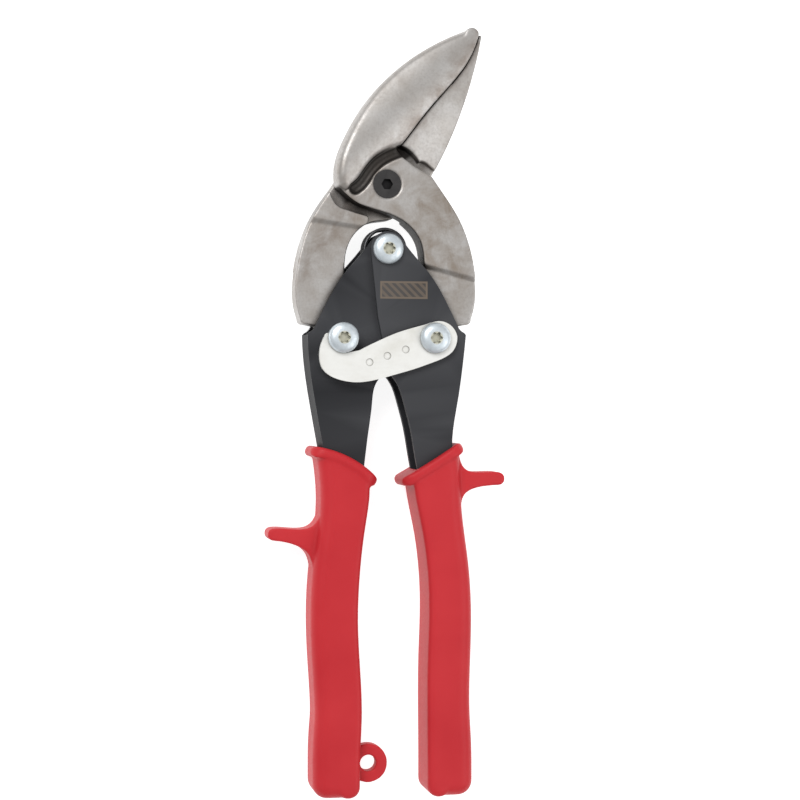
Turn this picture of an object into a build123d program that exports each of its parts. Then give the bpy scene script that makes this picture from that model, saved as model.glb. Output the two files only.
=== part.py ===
from build123d import *
import math
import os

# Left-cut offset aviation snips, lying flat with the jaws shut and latched.
# +Y runs to the jaw tip, +Z is up and along every pivot, Z = 0 is the surface that they lie on.

# ---- Linkage: four pivots in a kite, all parallel to Z ----
JAW_PIVOT = (0.0, 71.6)
HANDLE_PIVOT = (0.0, 51.3)
RIGHT_LINK = (14.5, 23.5)
LEFT_LINK = (-14.5, 23.5)

# ---- Overall length ----
TIP_Y = 121.3
HEEL_Y = -119.8

# ---- Stack of levels ----
SHEET = 2.0
CHANNEL_GAP = 9.0
CHANNEL_DEPTH = CHANNEL_GAP + 2 * SHEET
LEFT_BASE = 3.0
RIGHT_BASE = LEFT_BASE + SHEET + 0.1
LEFT_TOP = LEFT_BASE + CHANNEL_DEPTH
RIGHT_TOP = RIGHT_BASE + CHANNEL_DEPTH
SHEAR_Z = 10.5
SHEAR_GAP = 0.05
BOSS_TOP = 17.2
BOSS_BOTTOM = 3.7
TAIL_SIDE_GAP = 0.15
FRONT_TAIL_TOP = RIGHT_TOP - SHEET - TAIL_SIDE_GAP
REAR_TAIL_TOP = LEFT_TOP - SHEET - TAIL_SIDE_GAP
REAR_TAIL_RISE = 1.0
ABOVE_ALL = 30
LATCH_Z = 18.8
LATCH_THICK = 1.6
LINK_HEAD_Z = LATCH_Z + LATCH_THICK + 0.1

# ---- Bolts, bushes and nuts ----
LINK_BOLT_R = 2.5
LINK_BUSH_R = 3.4
PIVOT_BOLT_R = 3.0
SLEEVE_R = 4.4
HEAD_R = 4.7
WASHER_R = 5.6
HEAD_HEIGHT = 2.8
SCREW_HEAD_R = 4.5
SCREW_HEAD_GAP = 0.3
NUT_R = 4.6
RUNNING_GAP = 0.05
OPEN_PIVOT_GAP = 0.35

# ---- Return spring ----
SPRING_R = 6.5
WIRE_R = 0.55
SPRING_TURNS = 4.5
SPRING_LOW = RIGHT_BASE + SHEET + 0.75
SPRING_HIGH = LEFT_TOP - SHEET - 0.75

# ---- Grips ----
GRIP_WALL = 2.4
COLLAR_LIP = 0.6
GRIP_ROUNDING = 4.0
INNER_ROUNDING = 1.6
HEEL_CORNER_R = 4.6

# ---- Blade tails: the left tail mirrors the right one on the outside ----
TAIL_OUTER = [(14.2, 74.2), (17.3, 69.8), (22.7, 61.6), (26.4, 52.4), (28.2, 43.0), (28.3, 34.8),
              (27.0, 29.6)]
FRONT_ARCH = [(-15.8, 70.6), (-13.6, 68.7), (-9.8, 65.8), (-5.2, 64.0), (0.2, 62.4), (4.7, 60.4),
              (7.9, 57.8), (10.4, 54.2), (11.5, 49.8), (11.7, 44.0), (11.0, 36.0), (8.6, 27.0)]
REAR_ARCH = [(15.8, 70.6), (13.6, 68.7), (9.8, 65.8), (6.2, 63.4), (2.6, 61.3), (-1.4, 60.6), (-5.4, 59.6),
             (-8.6, 57.4), (-11.2, 54.0), (-12.6, 49.8), (-12.9, 44.0), (-11.6, 36.0), (-8.6, 27.0)]
STEP_LINE = [(-17.9, 69.9), (-17.2, 67.6), (-15.4, 64.9), (-12.4, 63.6), (-9.2, 62.7), (-5.6, 61.7)]
FRONT_BOSS_TOP = [(-16.2, 74.0), (-2.6, 83.6), (2.6, 83.4), (5.3, 79.7), (9.2, 76.9), (12.2, 75.3)]
REAR_BOSS_TOP = [(16.2, 74.0), (-4.2, 83.2)]
FRONT_CREASE = ((11.5, 47.1), (24.5, 43.7))
REAR_CREASE = ((-21.2, 60.7), (-10.1, 59.1))
CREASE_RUN = 1.4
EYE_R = 6.5
EYE_HALF = EYE_R / 2**0.5
LEFT_THIN_TOP = 44.3
LEFT_THIN_WIDTH = 60.0


def mirrored(points):
    return [(-x, y) for x, y in points]


def blade_outline(side):
    """Boss and tail of one blade; side is 1 for the right tail and -1 for the left."""
    flip = (lambda points: points) if side > 0 else mirrored
    link_x, link_y = RIGHT_LINK
    outer = flip(TAIL_OUTER)
    arch = FRONT_ARCH if side > 0 else REAR_ARCH
    boss_top = FRONT_BOSS_TOP if side > 0 else REAR_BOSS_TOP
    tail_corner = flip([(25.2, 27.9), (22.0, 27.2)])
    eye = flip([(link_x + EYE_R, link_y + 1.5), (link_x + EYE_HALF, link_y - EYE_HALF)])
    eye_end = flip([(link_x - EYE_R, link_y)])[0]
    Spline(*outer)
    ThreePointArc(outer[-1], flip([(26.5, 28.2)])[0], tail_corner[0])
    Polyline(tail_corner[0], tail_corner[1], eye[0])
    ThreePointArc(eye[0], eye[1], eye_end)
    Line(eye_end, arch[-1])
    Spline(*reversed(arch))
    Polyline(arch[0], *boss_top, outer[0])


def tail_limit(side):
    """Everything on the tail's side of the curved step that clears the other blade's boss."""
    step = STEP_LINE if side < 0 else mirrored(STEP_LINE)
    Spline(*step)
    Polyline(step[-1], (step[-1][0], 0), (side * 40, 0), (side * 40, step[0][1]), step[0])


def crease_cut(crease, high, low):
    """Everything above a tail's skin below its crease, where the skin ramps down from high to low."""
    along = Vector(crease[1][0] - crease[0][0], crease[1][1] - crease[0][1], 0).normalized()
    down_tail = Vector(along.Y, -along.X, 0)
    reach = 60
    side_view = Plane(origin=(*crease[0], high), x_dir=down_tail, z_dir=-along)
    with BuildPart() as wedge:
        with BuildSketch(side_view):
            with BuildLine():
                Polyline((0, 0), (CREASE_RUN, low - high), (reach, low - high), (reach, reach), (0, reach),
                         (0, 0))
            make_face()
        extrude(amount=reach, both=True)
    return wedge.part


# ---- Jaw heads ----
JAW_EDGE = [(4.2, 83.6), (6.7, 86.8), (10.1, 91.4), (14.3, 96.6), (19.6, 102.6), (24.3, 108.4),
            (28.4, 116.2)]
HEAD_FOOT = [(4.2, 83.6), (1.2, 82.6), (-2.2, 81.0), (-4.9, 78.9), (-7.2, 76.0), (-9.4, 72.8),
             (-11.6, 70.4), (-13.8, 69.0)]
SPINE = [(-15.8, 71.0), (-16.2, 74.0), (-15.6, 79.2), (-12.9, 86.2), (-9.1, 93.2), (-3.3, 101.1),
         (4.2, 108.4), (16.4, 116.5), (25.4, 120.6)]
REAR_RIGHT = [(15.0, 74.3), (20.2, 84.5), (25.2, 97.5), (28.9, 110.5), (30.6, 118.4)]
REAR_EDGE = [(1.6, 84.6), (4.6, 88.4), (8.2, 93.2), (12.4, 98.4), (17.8, 104.6), (22.4, 110.4),
             (27.4, 119.4)]
CREST_FROM = (-8.5, 85.9)
CREST_TO = (21.0, 113.8)
EDGE_GAP = 0.12
SLIT_R = 13.2
FRONT_CROWN_R = 22.0
REAR_CROWN_R = 60.0
REAR_BELLY_R = 22.0
BELLY_FROM = (4.0, 84.0)
BELLY_TO = (27.0, 112.0)
BELLY_LOW = 1.6
HEAD_HEIGHT_MAX = 14.0
RIM_ROUNDING = 2.4

# ---- Valley: round-bottomed trough between the flat boss and the foot of the raised head ----
VALLEY = [(7.4, 83.0), (4.6, 82.0), (2.0, 81.0), (-1.2, 79.4), (-3.6, 77.5), (-5.8, 74.8), (-8.0, 71.7),
          (-10.2, 69.9)]
VALLEY_R = 2.1
VALLEY_DEPTH = 1.4


def crown(radius, heel_z, tip_z, along_from=CREST_FROM, along_to=CREST_TO):
    """Long cylinder whose top line (or bottom line, if radius is negative) slopes from heel_z to tip_z."""
    run = Vector(along_to[0] - along_from[0], along_to[1] - along_from[1], tip_z - heel_z)
    foot = Vector(along_from[0], along_from[1], heel_z - radius) - run
    axis_plane = Plane(origin=foot, z_dir=run.normalized())
    with BuildPart() as cylinder:
        with BuildSketch(axis_plane):
            Circle(abs(radius))
        extrude(amount=run.length * 3)
    return cylinder.part


with BuildPart() as front_head:
    with BuildSketch(Plane.XY.offset(SHEAR_Z + SHEAR_GAP)):
        with BuildLine():
            Spline(*SPINE)
            ThreePointArc(SPINE[-1], (27.9, TIP_Y - 0.05), (29.4, 119.2))
            Line((29.4, 119.2), JAW_EDGE[-1])
            Spline(*reversed(JAW_EDGE))
            Spline(*HEAD_FOOT)
            Line(HEAD_FOOT[-1], SPINE[0])
        make_face()
    extrude(amount=HEAD_HEIGHT_MAX)
    add(crown(FRONT_CROWN_R, 19.9, 17.9), mode=Mode.INTERSECT)
    # The rim rolls over along the spine and down the foot; the cutting edge stays sharp
    outer_face = front_head.faces().filter_by(GeomType.CYLINDER).sort_by(SortBy.AREA)[-1]
    fillet([edge for edge in outer_face.edges() if (edge @ 0.5).X < JAW_EDGE[0][0]], RIM_ROUNDING)

with BuildPart() as blade_front:
    # Boss and tail above the shear plane
    with BuildSketch(Plane.XY.offset(SHEAR_Z + SHEAR_GAP)):
        with BuildLine():
            blade_outline(1)
        make_face()
    extrude(amount=BOSS_TOP - SHEAR_Z - SHEAR_GAP)
    # The tail thins where the handle's front plate lies over it
    add(crease_cut(FRONT_CREASE, BOSS_TOP, FRONT_TAIL_TOP), mode=Mode.SUBTRACT)
    # Full thickness of the tail, past the sweep of the rear blade's boss
    with BuildSketch(Plane.XY.offset(RIGHT_BASE + SHEET + TAIL_SIDE_GAP)):
        with BuildLine():
            blade_outline(1)
        make_face()
        with BuildLine():
            tail_limit(1)
        make_face(mode=Mode.INTERSECT)
    extrude(amount=SHEAR_Z + SHEAR_GAP - (RIGHT_BASE + SHEET + TAIL_SIDE_GAP))
    add(front_head.part)
    trough_z = BOSS_TOP - VALLEY_DEPTH + VALLEY_R
    with BuildLine(Plane.XY.offset(trough_z)):
        valley = Spline(*VALLEY)
    with BuildSketch(Plane(origin=valley @ 0, z_dir=valley % 0)):
        Circle(VALLEY_R)
    sweep(path=valley, mode=Mode.SUBTRACT)
    with Locations((*VALLEY[-1], trough_z)):
        Sphere(VALLEY_R, mode=Mode.SUBTRACT)
    # Jaw pivot: countersink for the screw's head and running bore for its shank
    with Locations((*JAW_PIVOT, BOSS_TOP)):
        CounterSinkHole(PIVOT_BOLT_R + RUNNING_GAP, SCREW_HEAD_R + SCREW_HEAD_GAP, counter_sink_angle=90)
    with Locations((*RIGHT_LINK, ABOVE_ALL)):
        Hole(LINK_BUSH_R + RUNNING_GAP)

# Corners of the rear jaw's root, inside the boss
REAR_ROOT = [(-4.0, 80.0), (8.0, 68.0)]

with BuildPart() as rear_base:
    with BuildSketch(Plane.XY.offset(BELLY_LOW)):
        with BuildLine():
            Spline(*REAR_RIGHT)
            ThreePointArc(REAR_RIGHT[-1], (29.7, 120.1), REAR_EDGE[-1])
            Spline(*reversed(REAR_EDGE))
            Polyline(REAR_EDGE[0], *REAR_ROOT, REAR_RIGHT[0])
        make_face()
    extrude(amount=SHEAR_Z - BELLY_LOW)
    add(crown(-REAR_BELLY_R, 2.0, 3.6, BELLY_FROM, BELLY_TO), mode=Mode.INTERSECT)

# Corner of the raised rear jaw that the front blade's tail swings through as the jaws open
FRONT_TAIL_SWEEP = [(11.0, 69.8), (24.9, 69.8), (17.3, 75.9), (12.9, 79.1), (11.0, 79.6), (11.0, 69.8)]

with BuildPart() as rear_raised:
    # The part of the rear jaw that stands up beside the front jaw's cutting edge
    with BuildSketch(Plane.XY.offset(SHEAR_Z - 1.0)):
        with BuildLine():
            Spline(*REAR_RIGHT)
            ThreePointArc(REAR_RIGHT[-1], (30.4, 119.4), (29.9, 119.5))
            Polyline((29.9, 119.5), (JAW_EDGE[-1][0] + EDGE_GAP, JAW_EDGE[-1][1]))
            Spline(*[(x + EDGE_GAP, y) for x, y in reversed(JAW_EDGE)])
            Polyline((JAW_EDGE[0][0] + EDGE_GAP, JAW_EDGE[0][1]), (8.0, 76.0), REAR_RIGHT[0])
        make_face()
        with Locations(JAW_PIVOT):
            Circle(SLIT_R, mode=Mode.SUBTRACT)
        with BuildLine():
            Polyline(*FRONT_TAIL_SWEEP)
        make_face(mode=Mode.SUBTRACT)
    extrude(amount=HEAD_HEIGHT_MAX)
    add(crown(REAR_CROWN_R, 16.8, 15.6), mode=Mode.INTERSECT)

REAR_BOSS_CORNER = [(-30, 80), (-17.4, 70.0), (-12.0, 78.6), (-4.5, 84.0), (-4.5, 90), (-30, 90), (-30, 80)]

with BuildPart() as blade_rear:
    with BuildSketch(Plane.XY.offset(BOSS_BOTTOM)):
        with BuildLine():
            blade_outline(-1)
        make_face()
    extrude(amount=SHEAR_Z - BOSS_BOTTOM)
    # Corner of the boss outline that would stick out past the front blade
    with BuildSketch(Plane.XY.offset(BOSS_BOTTOM)):
        with BuildLine():
            Polyline(*REAR_BOSS_CORNER)
        make_face()
    extrude(amount=ABOVE_ALL, mode=Mode.SUBTRACT)
    # The tail thins where the handle's back plate lies under it
    with BuildSketch(Plane.XY.offset(BOSS_BOTTOM - 1)):
        with Locations((-LEFT_THIN_WIDTH / 3, LEFT_THIN_TOP - LEFT_THIN_WIDTH / 2)):
            Rectangle(LEFT_THIN_WIDTH, LEFT_THIN_WIDTH)
    extrude(amount=LEFT_BASE + SHEET + TAIL_SIDE_GAP - BOSS_BOTTOM + 1, mode=Mode.SUBTRACT)
    with BuildSketch(Plane.XY.offset(SHEAR_Z)):
        with BuildLine():
            blade_outline(-1)
        make_face()
        with BuildLine():
            tail_limit(-1)
        make_face(mode=Mode.INTERSECT)
    extrude(amount=REAR_TAIL_TOP + REAR_TAIL_RISE - SHEAR_Z)
    add(crease_cut(REAR_CREASE, REAR_TAIL_TOP + REAR_TAIL_RISE, REAR_TAIL_TOP), mode=Mode.SUBTRACT)
    add(rear_base.part)
    add(rear_raised.part)
    # Flat seat for the pivot's washer and nut
    with BuildSketch(Plane.XY):
        with Locations(JAW_PIVOT):
            Circle(WASHER_R + 0.5)
    extrude(amount=BOSS_BOTTOM, mode=Mode.SUBTRACT)
    with Locations((*JAW_PIVOT, ABOVE_ALL)):
        Hole(PIVOT_BOLT_R)
    with Locations((*LEFT_LINK, ABOVE_ALL)):
        Hole(LINK_BUSH_R + OPEN_PIVOT_GAP)

# ---- Handles: stamped U-channels, open towards each other ----
PLATE_EYE_R = 5.4
RIGHT_INNER = [(1.0, 12.0), (3.6, 8.2), (5.1, 3.6), (7.0, -3.6), (9.0, -15.0), (12.3, -30.0),
               (14.6, -45.0), (15.4, -60.0), (15.1, -80.0), (15.2, -110.0)]
RIGHT_OUTER = [(24.9, 24.6), (23.9, 15.1), (22.3, 3.9), (20.7, -6.0), (20.4, -15.0), (21.0, -28.0),
               (22.4, -40.0), (24.0, -56.0), (24.1, -66.0), (23.7, -85.0), (24.2, -110.0)]
LEFT_INNER = [(-1.2, 12.0), (-3.9, 8.2), (-4.7, 2.7), (-5.8, -5.5), (-7.1, -16.0), (-8.9, -30.0),
              (-10.6, -43.0), (-11.7, -57.0), (-11.9, -70.0), (-11.0, -90.0), (-11.0, -110.0)]
LEFT_OUTER = [(-24.9, 24.6), (-24.3, 15.1), (-23.0, 6.0), (-21.4, -3.0), (-19.8, -12.0), (-18.4, -22.0),
              (-18.5, -33.0), (-20.2, -46.0), (-21.2, -60.0), (-21.2, -72.0), (-20.2, -90.0),
              (-20.6, -110.0)]
SLANT = [(4.6, 54.12), (9.1, 48.5), (13.6, 43.2), (18.8, 34.5), (22.3, 27.4)]
EYE_START = (-5.38, 51.8)


def plate_outline(inner, outer, side):
    """One plate of a channel: pivot eye, slanted shoulder edge, then the long curved handle."""
    flip = (lambda points: points) if side > 0 else mirrored
    slant = flip(SLANT)
    eye_start = flip([EYE_START])[0]
    eye_top = (HANDLE_PIVOT[0], HANDLE_PIVOT[1] + PLATE_EYE_R)
    ThreePointArc(eye_start, eye_top, slant[0])
    Spline(*slant)
    ThreePointArc(slant[-1], (slant[-1][0] + side * 1.0, 25.9), (outer[0][0] - side * 0.6, 25.3))
    Line((outer[0][0] - side * 0.6, 25.3), outer[0])
    Spline(*outer)
    Line(outer[-1], inner[-1])
    Spline(*reversed(inner))
    Polyline(inner[0], flip([(-1.8, 23.6)])[0], flip([(-3.1, 30.1)])[0], eye_start)


def handle_channel(inner, outer, base, side, link):
    with BuildPart() as channel:
        for level in (base, base + SHEET + CHANNEL_GAP):
            with BuildSketch(Plane.XY.offset(level)):
                with BuildLine():
                    plate_outline(inner, outer, side)
                make_face()
            extrude(amount=SHEET)
        web_inner = [(x - side * SHEET, y) for x, y in outer]
        with BuildSketch(Plane.XY.offset(base)):
            with BuildLine():
                Spline(*outer)
                Line(outer[-1], web_inner[-1])
                Spline(*reversed(web_inner))
                Line(web_inner[0], outer[0])
            make_face()
        extrude(amount=CHANNEL_DEPTH)
        with Locations((*HANDLE_PIVOT, ABOVE_ALL)):
            Hole(PIVOT_BOLT_R + (RUNNING_GAP if side < 0 else 0))
        with Locations((*link, ABOVE_ALL)):
            Hole(LINK_BOLT_R)
    return channel


handle_right = handle_channel(RIGHT_INNER, RIGHT_OUTER, RIGHT_BASE, 1, RIGHT_LINK)
handle_left = handle_channel(LEFT_INNER, LEFT_OUTER, LEFT_BASE, -1, LEFT_LINK)

# ---- Grips: vinyl moulded over the channels ----
RIGHT_GRIP_INNER = [(7.6, -17.0), (8.3, -24.0), (10.6, -36.0), (12.3, -48.0), (12.9, -60.0), (12.4, -78.0),
                    (12.3, -95.0), (12.4, -110.0)]
RIGHT_GRIP_OUTER = [(22.6, -8.0), (23.2, -22.0), (24.2, -34.0), (25.8, -46.0), (26.8, -60.0), (26.6, -76.0),
                    (26.3, -92.0), (27.0, -110.0)]
LEFT_GRIP_INNER = [(-5.6, -17.0), (-5.6, -26.0), (-7.0, -36.0), (-8.6, -50.0), (-9.2, -65.0), (-8.5, -80.0),
                   (-8.0, -95.0), (-8.6, -110.0)]
LEFT_GRIP_OUTER = [(-22.6, -8.0), (-20.9, -22.0), (-21.0, -33.0), (-22.8, -46.0), (-23.9, -62.0),
                   (-23.4, -78.0), (-22.6, -94.0), (-23.3, -110.0)]
RIGHT_COLLAR = [(22.6, -11.0), (14.2, -16.4), (6.1, -21.1)]
LEFT_COLLAR = [(-4.6, -21.0), (-12.9, -14.9), (-22.4, -11.9)]
COLLAR_R = 1.7
COLLAR_ROUNDING = 1.3
COLLAR_END_R = 4.8
TAB_DEPTH = 10.0
TAB_ROOT = 2.0
RIGHT_TAB = [(22.4, -10.0), (23.6, -14.8), (25.2, -17.5), (28.6, -18.5), (36.2, -18.6)]
RIGHT_TAB_TIP = (38.0, -20.7)
RIGHT_TAB_UNDER = [(36.2, -22.7), (28.0, -23.7), (25.0, -25.5), (23.8, -28.8), (23.0, -35.0)]
LEFT_TAB = [(-19.6, -26.0), (-21.1, -32.4), (-23.4, -35.2), (-27.0, -36.0), (-35.1, -35.6)]
LEFT_TAB_TIP = (-37.2, -37.5)
LEFT_TAB_UNDER = [(-35.1, -39.5), (-27.5, -41.4), (-24.8, -43.4), (-23.3, -46.8), (-20.8, -56.0)]
HANG_HOLE = (-5.1, -109.9)
HANG_HOLE_R = 2.55
HANG_RING_R = 6.1
HANG_RING_DEPTH = 4.6


def sleeve_blank(inner, outer, middle, half, rounding):
    """Rounded solid between an inner and an outer edge line, square at the mouth and closed at the heel."""
    heel = [(outer[-1][0], HEEL_Y), (inner[-1][0], HEEL_Y)]
    heel_corner = min(HEEL_CORNER_R, 0.47 * abs(outer[-1][0] - inner[-1][0]))
    with BuildPart() as blank:
        with BuildSketch(Plane.XY.offset(middle - half)) as outline:
            with BuildLine():
                Spline(*outer, tangents=[Vector(*outer[1]) - Vector(*outer[0]), (0, -1)])
                Polyline(outer[-1], *heel, inner[-1])
                Spline(*reversed(inner), tangents=[(0, 1), Vector(*inner[0]) - Vector(*inner[1])])
                Line(inner[0], outer[0])
            make_face()
            fillet(outline.vertices().group_by(Axis.Y)[0], heel_corner)
        extrude(amount=2 * half)
        mouth = blank.edges().filter_by(Axis.Z, reverse=True).group_by(Axis.Y)[-1]
        rims = blank.edges().group_by(Axis.Z)[0] + blank.edges().group_by(Axis.Z)[-1]
        fillet([edge for edge in rims if edge not in mouth], rounding)
    return blank.part


def guard_tab(tab, tip, under, middle):
    """Flat tab that keeps the hand from sliding to the jaws, rooted a little way inside the sleeve."""
    first, last = tab[0], under[-1]
    root = ((first[0] + last[0]) / 2 - math.copysign(TAB_ROOT, tip[0]), (first[1] + last[1]) / 2)
    with BuildPart() as guard:
        with BuildSketch(Plane.XY.offset(middle - TAB_DEPTH / 2)):
            with BuildLine():
                Spline(*tab)
                ThreePointArc(tab[-1], tip, under[0])
                Spline(*under)
                Polyline(under[-1], root, tab[0])
            make_face()
        extrude(amount=TAB_DEPTH)
    return guard.part


def collar_roll(path_points, middle, half, mouth_plane):
    """Rolled lip round the slanted mouth of a grip, rounded at both ends like the sleeve."""
    width = (Vector(*path_points[0]) - Vector(*path_points[-1])).length + 2 * COLLAR_R
    with BuildPart() as roll:
        with BuildSketch(Plane.XY.offset(middle - half - COLLAR_LIP)):
            with BuildLine():
                path = ThreePointArc(*path_points)
            SlotArc(path, 2 * COLLAR_R)
        extrude(amount=2 * (half + COLLAR_LIP))
        fillet(roll.edges().group_by(Axis.Z)[0] + roll.edges().group_by(Axis.Z)[-1], COLLAR_ROUNDING)
        with BuildSketch(mouth_plane):
            RectangleRounded(width, 2 * (half + COLLAR_LIP), COLLAR_END_R)
        extrude(amount=HEEL_CORNER_R, both=True, mode=Mode.INTERSECT)
    return roll.part


def grip(grip_inner, grip_outer, channel_inner, channel_outer, base, side, collar, tab, tab_tip, tab_under):
    """Hand-shaped sleeve over a channel: flat inside, rounded outside, with a collar and a guard tab."""
    middle = base + CHANNEL_DEPTH / 2
    half = CHANNEL_DEPTH / 2 + GRIP_WALL
    core = [((a[0] + b[0]) / 2, (a[1] + b[1]) / 2) for a, b in zip(grip_inner, grip_outer)]
    collar_run = Vector(*collar[0]) - Vector(*collar[-1])
    mouth = (Vector(*collar[0]) + Vector(*collar[-1]) + 2 * Vector(*collar[1])) / 4
    mouth_plane = Plane(origin=(mouth.X, mouth.Y, middle), x_dir=collar_run,
                        z_dir=Vector(-collar_run.Y, collar_run.X, 0))
    with BuildPart() as sleeve:
        add(sleeve_blank(grip_inner, grip_outer, middle, half, GRIP_ROUNDING))
        add(sleeve_blank(grip_inner, core, middle, half, INNER_ROUNDING))
        split(bisect_by=mouth_plane, keep=Keep.BOTTOM)
        add(collar_roll(collar, middle, half, mouth_plane))
        add(guard_tab(tab, tab_tip, tab_under, middle))
        if side < 0:
            with BuildSketch(Plane.XY.offset(middle - HANG_RING_DEPTH / 2)):
                with Locations(HANG_HOLE):
                    Circle(HANG_RING_R)
            extrude(amount=HANG_RING_DEPTH)
        # Room for the channel inside
        with BuildSketch(Plane.XY.offset(base)):
            with BuildLine():
                plate_outline(channel_inner, channel_outer, side)
            make_face()
        extrude(amount=CHANNEL_DEPTH, mode=Mode.SUBTRACT)
        if side < 0:
            with Locations((*HANG_HOLE, ABOVE_ALL)):
                Hole(HANG_HOLE_R)
    return sleeve


grip_right = grip(RIGHT_GRIP_INNER, RIGHT_GRIP_OUTER, RIGHT_INNER, RIGHT_OUTER, RIGHT_BASE, 1,
                  RIGHT_COLLAR, RIGHT_TAB, RIGHT_TAB_TIP, RIGHT_TAB_UNDER)
grip_left = grip(LEFT_GRIP_INNER, LEFT_GRIP_OUTER, LEFT_INNER, LEFT_OUTER, LEFT_BASE, -1,
                 LEFT_COLLAR, LEFT_TAB, LEFT_TAB_TIP, LEFT_TAB_UNDER)

# ---- Bolts with six-lobe sockets, nuts, bushes and washers ----
SOCKET_R = 1.45
SOCKET_DEPTH = 1.7
HEX_SOCKET_R = 1.85
SPACER_R = 4.3
NUT_HEIGHT = 3.0


def lobed_bolt(centre, bottom, head_z, shank_r):
    x, y = centre
    rim_z = head_z + HEAD_HEIGHT / 2
    top_z = head_z + HEAD_HEIGHT
    with BuildPart() as bolt:
        with BuildSketch(Plane.XZ.offset(-y)):
            with BuildLine():
                Polyline((x, top_z), (x, bottom), (x + shank_r, bottom), (x + shank_r, head_z),
                         (x + HEAD_R, head_z), (x + HEAD_R, rim_z))
                Spline((x + HEAD_R, rim_z), (x, top_z), tangents=[(-0.4, 1), (-1, 0)])
            make_face()
        revolve(axis=Axis((x, y, 0), (0, 0, 1)))
        with BuildSketch(Plane.XY.offset(top_z - SOCKET_DEPTH)):
            with Locations(centre):
                Circle(SOCKET_R)
                with PolarLocations(SOCKET_R, 6):
                    Circle(SOCKET_R / 3)
        extrude(amount=2 * SOCKET_DEPTH, mode=Mode.SUBTRACT)
    return bolt


def ring(centre, low, high, inner_r, outer_r):
    with BuildPart() as tube:
        with BuildSketch(Plane.XY.offset(low)):
            with Locations(centre):
                Circle(outer_r)
                Circle(inner_r, mode=Mode.SUBTRACT)
        extrude(amount=high - low)
    return tube


def hex_nut(centre, low, inner_r):
    with BuildPart() as nut:
        with BuildSketch(Plane.XY.offset(low)):
            with Locations(centre):
                RegularPolygon(NUT_R, 6)
                Circle(inner_r, mode=Mode.SUBTRACT)
        extrude(amount=NUT_HEIGHT)
    return nut


with BuildPart() as jaw_pivot_screw:
    head_top = BOSS_TOP - SCREW_HEAD_GAP
    neck_top = head_top - SCREW_HEAD_R + PIVOT_BOLT_R
    with BuildSketch(Plane.XZ.offset(-JAW_PIVOT[1])):
        with BuildLine():
            Polyline((0, head_top), (0, 0), (PIVOT_BOLT_R, 0), (PIVOT_BOLT_R, neck_top),
                     (SCREW_HEAD_R, head_top), (0, head_top))
        make_face()
    revolve(axis=Axis((JAW_PIVOT[0], JAW_PIVOT[1], 0), (0, 0, 1)))
    with BuildSketch(Plane.XY.offset(head_top)):
        with Locations(JAW_PIVOT):
            RegularPolygon(HEX_SOCKET_R, 6)
    extrude(amount=-SOCKET_DEPTH, mode=Mode.SUBTRACT)

jaw_pivot_washer = ring(JAW_PIVOT, NUT_HEIGHT, BOSS_BOTTOM, PIVOT_BOLT_R, WASHER_R)
jaw_pivot_nut = hex_nut(JAW_PIVOT, 0, PIVOT_BOLT_R)
handle_pivot_bolt = lobed_bolt(HANDLE_PIVOT, 0, RIGHT_TOP, PIVOT_BOLT_R)
handle_pivot_sleeve = ring(HANDLE_PIVOT, RIGHT_BASE + SHEET, LEFT_TOP - SHEET, PIVOT_BOLT_R, SLEEVE_R)
handle_pivot_nut = hex_nut(HANDLE_PIVOT, 0, PIVOT_BOLT_R)
left_link_bolt = lobed_bolt(LEFT_LINK, 0, LINK_HEAD_Z, LINK_BOLT_R)
left_link_bush = ring(LEFT_LINK, LEFT_BASE + SHEET, LEFT_TOP - SHEET, LINK_BOLT_R, LINK_BUSH_R)
left_link_spacer = ring(LEFT_LINK, LEFT_TOP, LATCH_Z - 2 * RUNNING_GAP, LINK_BOLT_R, SPACER_R)
left_link_nut = hex_nut(LEFT_LINK, 0, LINK_BOLT_R)
right_link_bolt = lobed_bolt(RIGHT_LINK, RIGHT_BASE - NUT_HEIGHT, LINK_HEAD_Z, LINK_BOLT_R)
right_link_bush = ring(RIGHT_LINK, RIGHT_BASE + SHEET, RIGHT_TOP - SHEET, LINK_BOLT_R, LINK_BUSH_R)
right_link_nut = hex_nut(RIGHT_LINK, RIGHT_BASE - NUT_HEIGHT, LINK_BOLT_R)
latch_washer = ring(RIGHT_LINK, RIGHT_TOP, LATCH_Z - RUNNING_GAP, LINK_BOLT_R, WASHER_R - 0.6)

# ---- Latch: a flat hook that pivots on the right link bolt and holds the neck of the left one ----
LATCH_LOWER = [(21.6, 24.0), (21.3, 21.6), (20.3, 19.6), (17.6, 17.5), (13.5, 15.8), (8.1, 13.9),
               (2.6, 12.3), (-2.8, 10.8), (-6.6, 10.0), (-10.8, 9.7), (-14.9, 10.3), (-18.7, 11.8),
               (-20.9, 13.9), (-21.8, 17.0), (-21.5, 20.9), (-20.2, 24.0)]
HOOK_TIP = [(-20.2, 24.0), (-19.3, 24.9), (-18.4, 24.2)]
HOOK_THROAT = [(-17.5, 21.9), (-16.0, 19.9), (-13.2, 18.8)]
LATCH_UPPER = [(-9.3, 19.6), (-6.4, 21.1), (-2.8, 22.8), (2.6, 25.1), (8.1, 26.8), (13.5, 28.3)]
DIMPLES = [(-6.2, 15.9), (-0.6, 17.9), (5.2, 19.9)]
DIMPLE_R = 1.2
DIMPLE_DEPTH = 0.4

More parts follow.
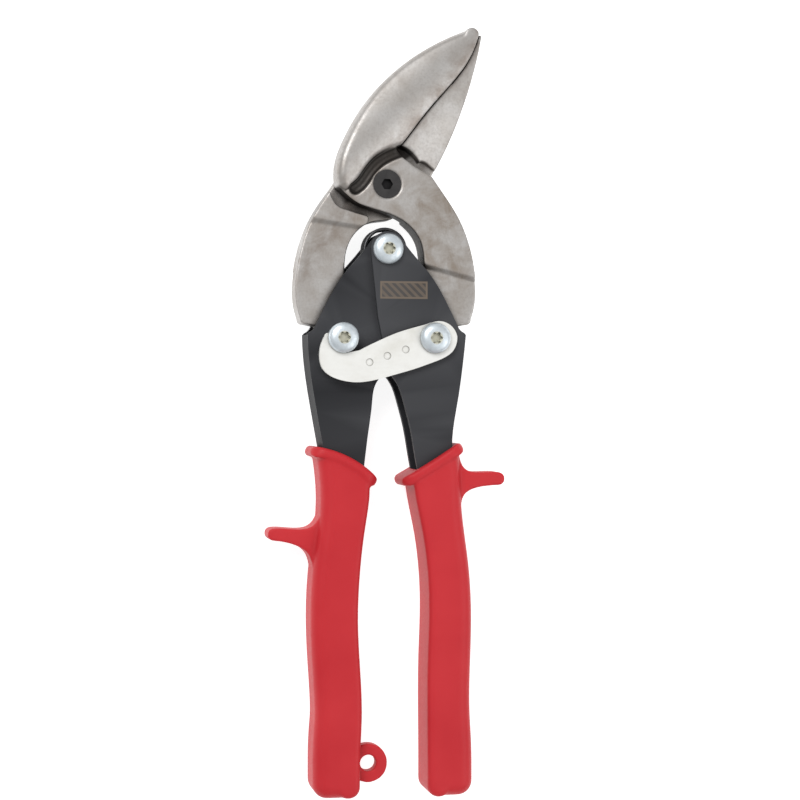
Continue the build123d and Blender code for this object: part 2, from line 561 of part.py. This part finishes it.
with BuildPart() as latch:
    with BuildSketch(Plane.XY.offset(LATCH_Z)):
        with BuildLine():
            Spline(*LATCH_LOWER)
            ThreePointArc(*HOOK_TIP)
            Line(HOOK_TIP[-1], HOOK_THROAT[0])
            Spline(*HOOK_THROAT, tangents=[(0.4, -1), (1, 0)])
            Line(HOOK_THROAT[-1], LATCH_UPPER[0])
            Spline(*LATCH_UPPER)
            ThreePointArc(LATCH_UPPER[-1], (19.4, 27.6), LATCH_LOWER[0])
        make_face()
    extrude(amount=LATCH_THICK)
    with BuildSketch(Plane.XY.offset(LATCH_Z + LATCH_THICK)):
        with Locations(*DIMPLES):
            Circle(DIMPLE_R)
    extrude(amount=-DIMPLE_DEPTH, mode=Mode.SUBTRACT)
    with Locations((*RIGHT_LINK, ABOVE_ALL)):
        Hole(LINK_BOLT_R + RUNNING_GAP)

# ---- Return spring: a coil on the sleeve, one leg against each blade's tail ----
LEG_START_Y = HANDLE_PIVOT[1] + 0.4
LEG_END = (SPRING_R + 0.9, RIGHT_LINK[1] + 1.0)

with BuildPart() as return_spring:
    with BuildLine():
        coil = Helix((SPRING_HIGH - SPRING_LOW) / SPRING_TURNS, SPRING_HIGH - SPRING_LOW, SPRING_R,
                     center=(HANDLE_PIVOT[0], HANDLE_PIVOT[1], SPRING_LOW))
    with BuildSketch(Plane(origin=coil @ 0, z_dir=coil % 0)):
        Circle(WIRE_R)
    sweep(is_frenet=True)
    for side, level in ((-1, SPRING_HIGH), (1, SPRING_LOW)):
        leg_top = Vector(side * SPRING_R, LEG_START_Y, level)
        leg_run = Vector(side * LEG_END[0], LEG_END[1], level) - leg_top
        with BuildSketch(Plane(origin=leg_top, z_dir=leg_run)):
            Circle(WIRE_R - 0.05)
        extrude(amount=leg_run.length)

PIECES = {
    "blade_front": blade_front,
    "blade_rear": blade_rear,
    "jaw_pivot_screw": jaw_pivot_screw,
    "jaw_pivot_washer": jaw_pivot_washer,
    "jaw_pivot_nut": jaw_pivot_nut,
    "handle_right": handle_right,
    "handle_left": handle_left,
    "grip_right": grip_right,
    "grip_left": grip_left,
    "handle_pivot_bolt": handle_pivot_bolt,
    "handle_pivot_sleeve": handle_pivot_sleeve,
    "handle_pivot_nut": handle_pivot_nut,
    "return_spring": return_spring,
    "left_link_bolt": left_link_bolt,
    "left_link_bush": left_link_bush,
    "left_link_spacer": left_link_spacer,
    "left_link_nut": left_link_nut,
    "right_link_bolt": right_link_bolt,
    "right_link_bush": right_link_bush,
    "right_link_nut": right_link_nut,
    "latch": latch,
    "latch_washer": latch_washer,
}

os.makedirs("parts", exist_ok=True)
for label, piece in PIECES.items():
    piece.part.label = label
    export_step(piece.part, f"parts/{label}.step")
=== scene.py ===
import math

import bpy
from mathutils import Matrix, Vector


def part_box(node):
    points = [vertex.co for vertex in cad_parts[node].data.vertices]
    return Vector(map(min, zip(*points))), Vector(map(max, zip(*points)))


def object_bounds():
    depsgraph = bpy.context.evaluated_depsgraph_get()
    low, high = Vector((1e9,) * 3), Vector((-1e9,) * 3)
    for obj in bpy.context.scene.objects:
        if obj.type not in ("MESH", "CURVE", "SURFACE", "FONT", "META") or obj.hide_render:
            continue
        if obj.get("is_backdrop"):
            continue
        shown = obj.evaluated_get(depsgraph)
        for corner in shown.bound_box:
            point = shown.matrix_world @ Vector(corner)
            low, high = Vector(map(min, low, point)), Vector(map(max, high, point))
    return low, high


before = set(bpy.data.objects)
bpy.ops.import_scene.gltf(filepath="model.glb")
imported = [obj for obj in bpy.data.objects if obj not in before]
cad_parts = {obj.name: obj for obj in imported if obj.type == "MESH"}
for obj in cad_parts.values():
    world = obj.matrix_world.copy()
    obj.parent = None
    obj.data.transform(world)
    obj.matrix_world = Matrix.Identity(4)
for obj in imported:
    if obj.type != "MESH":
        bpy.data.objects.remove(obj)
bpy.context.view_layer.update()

MM = 0.001


# ---- Node helpers ----

def new_material(name):
    """An empty node material with a Principled shader wired to its output."""
    material = bpy.data.materials.new(name)
    material.use_nodes = True
    tree = material.node_tree
    tree.nodes.clear()
    output = tree.nodes.new("ShaderNodeOutputMaterial")
    shader = tree.nodes.new("ShaderNodeBsdfPrincipled")
    tree.links.new(shader.outputs["BSDF"], output.inputs["Surface"])
    return material, tree, shader


def object_coordinates(tree, scale=(1, 1, 1), turn=(0, 0, 0)):
    """Object-space coordinates in metres, turned and then stretched by scale."""
    source = tree.nodes.new("ShaderNodeTexCoord")
    mapping = tree.nodes.new("ShaderNodeMapping")
    mapping.inputs["Scale"].default_value = scale
    mapping.inputs["Rotation"].default_value = turn
    tree.links.new(source.outputs["Object"], mapping.inputs["Vector"])
    return mapping.outputs["Vector"]


def noise(tree, vector, scale, detail, roughness, distortion=0.0):
    node = tree.nodes.new("ShaderNodeTexNoise")
    node.inputs["Scale"].default_value = scale
    node.inputs["Detail"].default_value = detail
    node.inputs["Roughness"].default_value = roughness
    node.inputs["Distortion"].default_value = distortion
    tree.links.new(vector, node.inputs["Vector"])
    return node.outputs["Fac"]


def ramp(tree, value, stops):
    """A colour ramp; stops are (position, colour)."""
    node = tree.nodes.new("ShaderNodeValToRGB")
    elements = node.color_ramp.elements
    while len(elements) < len(stops):
        elements.new(0.5)
    for element, (position, colour) in zip(elements, stops):
        element.position = position
        element.color = (*colour, 1)
    tree.links.new(value, node.inputs["Fac"])
    return node.outputs["Color"]


def levels(tree, value, low, high, out_low=0.0, out_high=1.0):
    """out_low where value is at low, out_high where it is at high, and held beyond both."""
    node = tree.nodes.new("ShaderNodeMapRange")
    node.inputs["From Min"].default_value = low
    node.inputs["From Max"].default_value = high
    node.inputs["To Min"].default_value = out_low
    node.inputs["To Max"].default_value = out_high
    tree.links.new(value, node.inputs["Value"])
    return node.outputs["Result"]


def mixed(tree, factor, first, second):
    """first where factor is 0, second where it is 1; each is a colour or an output."""
    node = tree.nodes.new("ShaderNodeMix")
    node.data_type = "RGBA"
    for socket, value in ((node.inputs[6], first), (node.inputs[7], second)):
        if isinstance(value, tuple):
            socket.default_value = (*value, 1)
        else:
            tree.links.new(value, socket)
    tree.links.new(factor, node.inputs["Factor"])
    return node.outputs[2]


def arithmetic(tree, operation, first, second=0):
    """One Math node; first and second are numbers or outputs."""
    node = tree.nodes.new("ShaderNodeMath")
    node.operation = operation
    for socket, value in zip(node.inputs, (first, second)):
        if isinstance(value, (int, float)):
            socket.default_value = value
        else:
            tree.links.new(value, socket)
    return node.outputs["Value"]


def product(tree, first, *others):
    for other in others:
        first = arithmetic(tree, "MULTIPLY", first, other)
    return first


def largest(tree, first, *others):
    for other in others:
        first = arithmetic(tree, "MAXIMUM", first, other)
    return first


def vector_math(tree, operation, first, second=None):
    """One Vector Math node's first output; second, if it is given, is a constant vector."""
    node = tree.nodes.new("ShaderNodeVectorMath")
    node.operation = operation
    tree.links.new(first, node.inputs[0])
    if second is not None:
        node.inputs[1].default_value = second
    return node.outputs["Value" if operation in ("DOT_PRODUCT", "LENGTH") else "Vector"]


def bump(tree, shader, height, strength, distance):
    node = tree.nodes.new("ShaderNodeBump")
    node.inputs["Strength"].default_value = strength
    node.inputs["Distance"].default_value = distance
    tree.links.new(height, node.inputs["Height"])
    tree.links.new(node.outputs["Normal"], shader.inputs["Normal"])


# ---- Masks: where on a piece something shows, from 0 to 1, and the distances that they use ----

def edge_wear(tree, low, high):
    """0 on flat stretches, 1 on convex edges."""
    geometry = tree.nodes.new("ShaderNodeNewGeometry")
    return levels(tree, geometry.outputs["Pointiness"], low, high)


def crevice_shade(tree, reach, open_from=0.85, shut_at=0.30):
    """Painted shade: 1 in deep corners and narrow gaps, as ambient occlusion finds them, 0 on open faces.
    """
    node = tree.nodes.new("ShaderNodeAmbientOcclusion")
    node.samples = 8
    node.inputs["Distance"].default_value = reach
    return levels(tree, node.outputs["AO"], open_from, shut_at)


def upright_faces(tree):
    """1 on walls that stand along Z, 0 on faces that look up or down."""
    geometry = tree.nodes.new("ShaderNodeNewGeometry")
    lean = vector_math(tree, "DOT_PRODUCT", geometry.outputs["Normal"], (0, 0, 1))
    return levels(tree, arithmetic(tree, "ABSOLUTE", lean), 0.72, 0.30)


def distance_across(tree, point, normal):
    """Signed distance, in metres, from the plane through point with that normal."""
    source = tree.nodes.new("ShaderNodeTexCoord")
    along = vector_math(tree, "DOT_PRODUCT", source.outputs["Object"], normal)
    return arithmetic(tree, "SUBTRACT", along, Vector(point).dot(Vector(normal)))


def distance_from_axis(tree, centre):
    """Distance, in metres, from the vertical axis through centre."""
    source = tree.nodes.new("ShaderNodeTexCoord")
    offset = vector_math(tree, "SUBTRACT", source.outputs["Object"], centre)
    flat = vector_math(tree, "MULTIPLY", offset, (1, 1, 0))
    return vector_math(tree, "LENGTH", flat)


def within(tree, distance, full, none):
    """1 up to the distance full, falling to 0 at the distance none."""
    return levels(tree, distance, none, full)


# ---- Places on the frame ----

# The etched panel's place is a share of the way from the handle pivot to the right link bolt
BADGE_ACROSS = 0.35
BADGE_DOWN = 0.46
BADGE_HALF_WIDTH = 7.6 * MM
BADGE_HALF_HEIGHT = 2.8 * MM
PLATEAU_ABOVE_SCREW = 0.3 * MM


def bolt_axis(node):
    """A point on the bolt's vertical axis: the middle of its box."""
    low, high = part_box(node)
    return (Vector(low) + Vector(high)) / 2


def badge_centre():
    """On the right handle's top face, part of the way from the handle pivot to the right link bolt."""
    pivot = bolt_axis("handle_pivot_bolt")
    link = bolt_axis("right_link_bolt")
    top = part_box("handle_right")[1][2]
    across = pivot.x + BADGE_ACROSS * (link.x - pivot.x)
    down = pivot.y + BADGE_DOWN * (link.y - pivot.y)
    return Vector((across, down, top))


def plateau_height():
    """Height of the flat round the jaw screw, which stands just over the screw's head."""
    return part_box("jaw_pivot_screw")[1][2] + PLATEAU_ABOVE_SCREW


# ---- Forged steel of the blades ----

BARE_STEEL = [(0.30, (0.41, 0.39, 0.37)), (0.50, (0.49, 0.475, 0.46)), (0.72, (0.56, 0.55, 0.54))]
BROWN_STAIN = (0.25, 0.20, 0.155)
DARK_SPECKS = (0.23, 0.20, 0.185)
BRIGHT_SCRATCHES = (0.62, 0.61, 0.60)
# Darker brown of the patchy band along the front jaw's cutting edge
EDGE_BAND_BROWN = (0.20, 0.155, 0.125)
# Black of the arch's scale, and of the painted shade in the trough
BLACK_SCALE_AND_SHADE = (0.016, 0.013, 0.011)
# Colour of the painted shade in the blades' corners and narrow gaps
STEEL_CREVICE_SHADE = (0.018, 0.014, 0.012)

# A point on the front jaw's cutting edge, and the level direction square to that edge
EDGE_MIDDLE = (15.5 * MM, 99.5 * MM, 0)
EDGE_NORMAL = (0.79, -0.61, 0)
EDGE_BAND_REACH = 5.0 * MM


def trough_painted_shade_and_scale(tree, screw, plateau):
    """Painted shade together with black scale: 1 in the trough behind the jaw screw and up the foot of the
    raised head, 0 on the plateau.
    """
    behind = levels(tree, distance_across(tree, screw, (-0.6, 0.8, 0)), 2.0 * MM, 3.0 * MM)
    nearby = within(tree, distance_from_axis(tree, screw), 12.5 * MM, 14.5 * MM)
    height = distance_across(tree, (0, 0, plateau), (0, 0, 1))
    sunk = within(tree, height, -0.75 * MM, -0.05 * MM)
    foot = product(tree, upright_faces(tree), within(tree, height, 1.2 * MM, 1.9 * MM))
    return product(tree, behind, nearby, largest(tree, sunk, foot))


def scale_and_painted_shade(tree, from_pivot, screw, plateau):
    """1 where the forging keeps its scale, on the walls and rim of the arch, and in the trough, where the
    black is also painted shade.
    """
    walls = product(tree, upright_faces(tree), within(tree, from_pivot, 23.5 * MM, 25.5 * MM))
    rim = product(tree, edge_wear(tree, 0.515, 0.56), within(tree, from_pivot, 15 * MM, 16.5 * MM))
    return largest(tree, walls, rim, trough_painted_shade_and_scale(tree, screw, plateau))


def tail_stain(tree, arch, from_pivot):
    """How strongly the brown stain shows: more round the arch, and most on its right side."""
    tails = within(tree, from_pivot, 22 * MM, 34 * MM)
    to_right = levels(tree, distance_across(tree, arch, (1, 0, 0)), -2 * MM, 18 * MM)
    return arithmetic(tree, "ADD", levels(tree, tails, 0, 1, 0.30, 0.62),
                      product(tree, tails, to_right, 0.30))


def cutting_edge_band(tree, patches):
    """A patchy band along the front jaw's cutting edge."""
    across = arithmetic(tree, "ABSOLUTE", distance_across(tree, EDGE_MIDDLE, EDGE_NORMAL))
    band = levels(tree, across, 0, EDGE_BAND_REACH, 0.55, 0.0)
    return product(tree, band, levels(tree, patches, 0.30, 0.60))


def forged_steel(arch, screw, plateau):
    """Bare drop-forged steel with brown stains, black scale in the arch, black in the trough that is
    painted shade as well as scale, and painted shade in corners and gaps.
    """
    material, tree, shader = new_material("forged_steel")
    place = object_coordinates(tree)
    clouds = noise(tree, place, 55, detail=5, roughness=0.6, distortion=0.5)
    patches = noise(tree, place, 140, detail=5, roughness=0.65, distortion=0.4)
    grain = noise(tree, place, 1300, detail=4, roughness=0.6)
    drawn_out = object_coordinates(tree, scale=(2400, 170, 400), turn=(0, 0, -0.7))
    streaks = noise(tree, drawn_out, 1, detail=3, roughness=0.6)
    from_pivot = distance_from_axis(tree, arch)

    colour = ramp(tree, clouds, BARE_STEEL)
    blotches = levels(tree, patches, 0.36, 0.70, 0.08, 1.0)
    colour = mixed(tree, product(tree, blotches, tail_stain(tree, arch, from_pivot)), colour, BROWN_STAIN)
    colour = mixed(tree, levels(tree, grain, 0.45, 0.8, 0.0, 0.32), colour, DARK_SPECKS)
    colour = mixed(tree, levels(tree, streaks, 0.60, 0.74, 0.0, 0.20), colour, BRIGHT_SCRATCHES)
    # A patchy darker brown band along the front jaw's cutting edge
    colour = mixed(tree, cutting_edge_band(tree, patches), colour, EDGE_BAND_BROWN)
    # Black scale on the arch's walls and rim; in the trough the black is painted shade as well as scale
    scale = scale_and_painted_shade(tree, from_pivot, screw, plateau)
    colour = mixed(tree, product(tree, scale, 0.94), colour, BLACK_SCALE_AND_SHADE)
    # Painted shade: the steel is darkened in corners and narrow gaps
    colour = mixed(tree, crevice_shade(tree, 3.5 * MM, 0.80, 0.42), colour, STEEL_CREVICE_SHADE)
    tree.links.new(colour, shader.inputs["Base Color"])

    shader.inputs["Metallic"].default_value = 0.80
    rough = arithmetic(tree, "ADD", levels(tree, clouds, 0.3, 0.7, 0.46, 0.38),
                       levels(tree, grain, 0.3, 0.7, 0.0, 0.10))
    tree.links.new(rough, shader.inputs["Roughness"])
    height = arithmetic(tree, "ADD", patches, product(tree, grain, 0.30))
    bump(tree, shader, height, strength=0.28, distance=0.22 * MM)
    return material


# ---- Black coat of the handles, and the etched panel on the right one ----

WORN_COAT = (0.06, 0.061, 0.066)
ETCHED_BROWN = (0.25, 0.19, 0.135)


def etched_panel(tree, colour, centre):
    """A plain hatched rectangle with a border, lightly burned into the coat of the top face."""
    beside = arithmetic(tree, "ABSOLUTE", distance_across(tree, centre, (1, 0, 0)))
    above = arithmetic(tree, "ABSOLUTE", distance_across(tree, centre, (0, 1, 0)))
    outside = largest(tree, arithmetic(tree, "SUBTRACT", beside, BADGE_HALF_WIDTH),
                      arithmetic(tree, "SUBTRACT", above, BADGE_HALF_HEIGHT))
    inside = levels(tree, outside, 0.0, -0.15 * MM)
    border = levels(tree, outside, -0.75 * MM, -0.60 * MM)
    hatch = tree.nodes.new("ShaderNodeTexWave")
    hatch.bands_direction = "DIAGONAL"
    hatch.inputs["Scale"].default_value = 260
    tree.links.new(object_coordinates(tree), hatch.inputs["Vector"])
    filled = largest(tree, border, levels(tree, hatch.outputs["Fac"], 0.35, 0.65, 0.25, 0.75))
    top_face = levels(tree, distance_across(tree, centre, (0, 0, 1)), -0.3 * MM, -0.1 * MM)
    return mixed(tree, product(tree, inside, filled, top_face, 0.55), colour, ETCHED_BROWN)


def black_coat(name, gloss, tone_with_painted_light, panel=None):
    """Black e-coated steel sheet with a faint grain, in a given tone that is painted darker for the left
    handle and lighter for the right, as painted shade and painted light; panel is the centre of the etched
    panel.
    """
    material, tree, shader = new_material(name)
    place = object_coordinates(tree)
    grain = noise(tree, place, 1400, detail=3, roughness=0.5)
    cloud = noise(tree, place, 60, detail=4, roughness=0.5)
    dark = tuple(0.85 * channel for channel in tone_with_painted_light)
    colour = ramp(tree, cloud, [(0.3, dark), (0.7, tone_with_painted_light)])
    colour = mixed(tree, edge_wear(tree, 0.53, 0.62), colour, WORN_COAT)
    if panel is not None:
        colour = etched_panel(tree, colour, panel)
    tree.links.new(colour, shader.inputs["Base Color"])
    tree.links.new(levels(tree, cloud, 0.3, 0.7, 0.52, 0.60), shader.inputs["Roughness"])
    shader.inputs["Specular IOR Level"].default_value = gloss
    bump(tree, shader, grain, strength=0.16, distance=0.06 * MM)
    return material


# ---- Grips, hardware, latch, screw and spring ----

# The tan stain fills a bolt's socket out to the first radius and ends at the second
SOCKET_FULL_R = 1.75 * MM
SOCKET_EDGE_R = 2.15 * MM


def red_vinyl():
    """Smooth moulded red vinyl with a soft sheen and a very fine skin texture."""
    material, tree, shader = new_material("red_vinyl")
    place = object_coordinates(tree)
    cloud = noise(tree, place, 45, detail=3, roughness=0.5)
    skin = noise(tree, place, 1500, detail=3, roughness=0.55)
    colour = ramp(tree, cloud, [(0.3, (0.52, 0.022, 0.030)), (0.7, (0.575, 0.030, 0.038))])
    # Painted shade: the vinyl is darkened in corners and narrow gaps
    colour = mixed(tree, crevice_shade(tree, 3.0 * MM), colour, (0.30, 0.010, 0.014))
    tree.links.new(colour, shader.inputs["Base Color"])
    tree.links.new(levels(tree, skin, 0.3, 0.7, 0.42, 0.52), shader.inputs["Roughness"])
    shader.inputs["Specular IOR Level"].default_value = 0.20
    shader.inputs["Subsurface Weight"].default_value = 0.06
    shader.inputs["Subsurface Radius"].default_value = (0.004, 0.001, 0.0008)
    shader.inputs["Subsurface Scale"].default_value = 0.3
    bump(tree, shader, skin, strength=0.12, distance=0.05 * MM)
    return material


def zinc_plate(name="zinc_plate", socket=None):
    """Slightly blue zinc plating with a mottled gloss; socket is the axis of a tan-stained recess."""
    material, tree, shader = new_material(name)
    cloud = noise(tree, object_coordinates(tree), 420, detail=4, roughness=0.6)
    colour = ramp(tree, cloud, [(0.3, (0.56, 0.62, 0.66)), (0.65, (0.72, 0.78, 0.82))])
    if socket is not None:
        recess = within(tree, distance_from_axis(tree, socket), SOCKET_FULL_R, SOCKET_EDGE_R)
        colour = mixed(tree, recess, colour, (0.62, 0.61, 0.50))
    # Painted shade: the plating is darkened in corners and narrow gaps
    painted_crevice_shade = product(tree, crevice_shade(tree, 1.2 * MM), 0.55)
    colour = mixed(tree, painted_crevice_shade, colour, (0.16, 0.16, 0.15))
    tree.links.new(colour, shader.inputs["Base Color"])
    shader.inputs["Metallic"].default_value = 0.65
    tree.links.new(levels(tree, cloud, 0.3, 0.7, 0.46, 0.36), shader.inputs["Roughness"])
    bump(tree, shader, cloud, strength=0.15, distance=0.05 * MM)
    return material


def latch_sheet():
    """Zinc plated sheet with brushing along its length and a few handling marks."""
    material, tree, shader = new_material("latch_sheet")
    drawn_out = object_coordinates(tree, scale=(220, 3200, 600), turn=(0, 0, -0.25))
    brushing = noise(tree, drawn_out, 1, detail=4, roughness=0.6)
    marks = noise(tree, object_coordinates(tree), 130, detail=5, roughness=0.6)
    colour = ramp(tree, marks, [(0.30, (0.78, 0.77, 0.72)), (0.5, (0.86, 0.855, 0.82)),
                                (0.7, (0.90, 0.90, 0.87))])
    # Painted shade: the sheet is darkened in corners and narrow gaps
    colour = mixed(tree, crevice_shade(tree, 1.0 * MM), colour, (0.25, 0.24, 0.21))
    tree.links.new(colour, shader.inputs["Base Color"])
    shader.inputs["Metallic"].default_value = 0.35
    tree.links.new(levels(tree, brushing, 0.3, 0.7, 0.34, 0.46), shader.inputs["Roughness"])
    bump(tree, shader, brushing, strength=0.14, distance=0.06 * MM)
    return material


def black_oxide():
    """Black oxide screw: near-black steel with a low gloss and rubbed edges."""
    material, tree, shader = new_material("black_oxide")
    cloud = noise(tree, object_coordinates(tree), 500, detail=4, roughness=0.55)
    colour = ramp(tree, cloud, [(0.3, (0.009, 0.0085, 0.009)), (0.7, (0.018, 0.017, 0.018))])
    colour = mixed(tree, edge_wear(tree, 0.53, 0.60), colour, (0.05, 0.048, 0.048))
    # Painted shade: the screw is darkened in corners and narrow gaps
    colour = mixed(tree, crevice_shade(tree, 1.5 * MM), colour, (0.006, 0.006, 0.006))
    tree.links.new(colour, shader.inputs["Base Color"])
    shader.inputs["Metallic"].default_value = 0.2
    shader.inputs["Specular IOR Level"].default_value = 0.18
    tree.links.new(levels(tree, cloud, 0.3, 0.7, 0.45, 0.55), shader.inputs["Roughness"])
    bump(tree, shader, cloud, strength=0.2, distance=0.05 * MM)
    return material


def spring_wire():
    """Oil-dark spring wire."""
    material, tree, shader = new_material("spring_wire")
    cloud = noise(tree, object_coordinates(tree), 700, detail=3, roughness=0.5)
    colour = ramp(tree, cloud, [(0.3, (0.05, 0.05, 0.052)), (0.7, (0.10, 0.10, 0.105))])
    tree.links.new(colour, shader.inputs["Base Color"])
    shader.inputs["Metallic"].default_value = 0.7
    tree.links.new(levels(tree, cloud, 0.3, 0.7, 0.32, 0.44), shader.inputs["Roughness"])
    bump(tree, shader, cloud, strength=0.1, distance=0.03 * MM)
    return material


# ---- CAD nodes: a material for each, and edges softened by modifiers ----

HARD_EDGE_DEGREES = 40
# One black coat on both handles: the left one's tone is painted darker as painted shade, the right one's
# lighter as painted light
LEFT_COAT_PAINTED_SHADE = (0.016, 0.0165, 0.019)
RIGHT_COAT_PAINTED_LIGHT = (0.025, 0.026, 0.030)
PLAIN_ZINC_ENDINGS = ("nut", "washer", "bush", "spacer", "sleeve")


def finish_node(node, material):
    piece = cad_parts[node]
    piece.data.materials.clear()
    piece.data.materials.append(material)
    return piece


def soften(piece, width):
    """A small round on every hard edge, as deburring leaves it."""
    bevel = piece.modifiers.new("edge_round", "BEVEL")
    bevel.width = width
    bevel.segments = 3
    bevel.limit_method = "ANGLE"
    bevel.angle_limit = math.radians(HARD_EDGE_DEGREES)


def recast(piece, voxel, passes):
    """Rebuilds the skin on a fine grid and relaxes it, so that corners and joins flow like a casting's."""
    remesh = piece.modifiers.new("skin", "REMESH")
    remesh.mode = "VOXEL"
    remesh.voxel_size = voxel
    remesh.use_smooth_shade = True
    relax = piece.modifiers.new("relax", "SMOOTH")
    relax.factor = 0.5
    relax.iterations = passes


def finish_blades():
    steel = forged_steel(bolt_axis("handle_pivot_bolt"), bolt_axis("jaw_pivot_screw"), plateau_height())
    for blade in ("blade_front", "blade_rear"):
        recast(finish_node(blade, steel), 0.28 * MM, 8)


def finish_handles():
    # Same coat on both handles, with painted shade on the left and painted light on the right; their
    # specular levels differ as well
    left_coat = black_coat("black_coat", 0.10, LEFT_COAT_PAINTED_SHADE)
    right_coat = black_coat("black_coat_etched", 0.18, RIGHT_COAT_PAINTED_LIGHT, badge_centre())
    for handle, coat in (("handle_left", left_coat), ("handle_right", right_coat)):
        soften(finish_node(handle, coat), 0.35 * MM)


def finish_grips():
    vinyl = red_vinyl()
    for grip in ("grip_left", "grip_right"):
        recast(finish_node(grip, vinyl), 0.38 * MM, 12)


def finish_hardware():
    """Every bolt has a material of its own, because the stain sits round its own axis."""
    zinc = zinc_plate()
    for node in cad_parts:
        if node.endswith("_bolt"):
            soften(finish_node(node, zinc_plate("zinc_" + node, bolt_axis(node))), 0.2 * MM)
        elif node.endswith(PLAIN_ZINC_ENDINGS):
            soften(finish_node(node, zinc), 0.2 * MM)
    soften(finish_node("latch", latch_sheet()), 0.25 * MM)
    soften(finish_node("jaw_pivot_screw", black_oxide()), 0.15 * MM)
    finish_node("return_spring", spring_wire())


# ---- Stage: pale floor, soft light, camera ----

# Lengths in metres; the camera takes in VIEW_WIDTH at its target
TABLE_SIDE = 4
VIEW_TARGET = Vector((0.0050, 0.0042, 0.012))
VIEW_YAW_DEGREES = 11
VIEW_DISTANCE = 0.62
VIEW_WIDTH = 0.252
SENSOR_MM = 36
LIGHT_TARGET = Vector((0, 0, 0.01))


def floor():
    """A pale table that glows a little, as a light table does, so that it stays white under the tool."""
    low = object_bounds()[0]
    bpy.ops.mesh.primitive_plane_add(size=TABLE_SIDE, location=(0, 0, low.z))
    plane = bpy.context.object
    plane.name = "floor"
    material, tree, shader = new_material("pale_floor")
    cloud = noise(tree, object_coordinates(tree), 3, detail=2, roughness=0.5)
    colour = ramp(tree, cloud, [(0.3, (0.55, 0.55, 0.55)), (0.7, (0.58, 0.58, 0.58))])
    tree.links.new(colour, shader.inputs["Base Color"])
    shader.inputs["Roughness"].default_value = 0.9
    shader.inputs["Specular IOR Level"].default_value = 0.1
    shader.inputs["Emission Color"].default_value = (1, 1, 1, 1)
    shader.inputs["Emission Strength"].default_value = 0.85
    plane.data.materials.append(material)
    plane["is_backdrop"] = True


def area_light(name, place, size, power):
    """A round soft light that looks at the tool."""
    light = bpy.data.lights.new(name, "AREA")
    light.shape = "DISK"
    light.size = size
    light.energy = power
    lamp = bpy.data.objects.new(name, light)
    bpy.context.collection.objects.link(lamp)
    lamp.location = place
    lamp.rotation_mode = "QUATERNION"
    lamp.rotation_quaternion = (LIGHT_TARGET - Vector(place)).to_track_quat("-Z", "Y")


def lights():
    bpy.context.scene.view_settings.view_transform = "Standard"
    world = bpy.data.worlds.new("studio")
    bpy.context.scene.world = world
    world.use_nodes = True
    background = world.node_tree.nodes["Background"]
    background.inputs["Color"].default_value = (1, 1, 1, 1)
    background.inputs["Strength"].default_value = 0.50
    area_light("key", (-0.35, 0.45, 0.75), size=0.5, power=4.5)
    area_light("fill", (0.6, -0.2, 0.7), size=0.7, power=2.5)


def camera():
    """Almost straight down, a little from the left, wide enough for the whole tool."""
    yaw = math.radians(VIEW_YAW_DEGREES)
    back = Vector((-math.sin(yaw), 0, math.cos(yaw)))
    right = Vector((math.cos(yaw), 0, math.sin(yaw)))
    up = back.cross(right)
    lens = bpy.data.cameras.new("camera")
    lens.sensor_width = SENSOR_MM
    lens.lens = SENSOR_MM * VIEW_DISTANCE / VIEW_WIDTH
    lens.clip_start = 0.01
    eye = bpy.data.objects.new("camera", lens)
    bpy.context.collection.objects.link(eye)
    eye.location = VIEW_TARGET + back * VIEW_DISTANCE
    eye.rotation_mode = "QUATERNION"
    eye.rotation_quaternion = Matrix((right, up, back)).transposed().to_quaternion()
    bpy.context.scene.camera = eye


finish_blades()
finish_handles()
finish_grips()
finish_hardware()
floor()
lights()
camera()
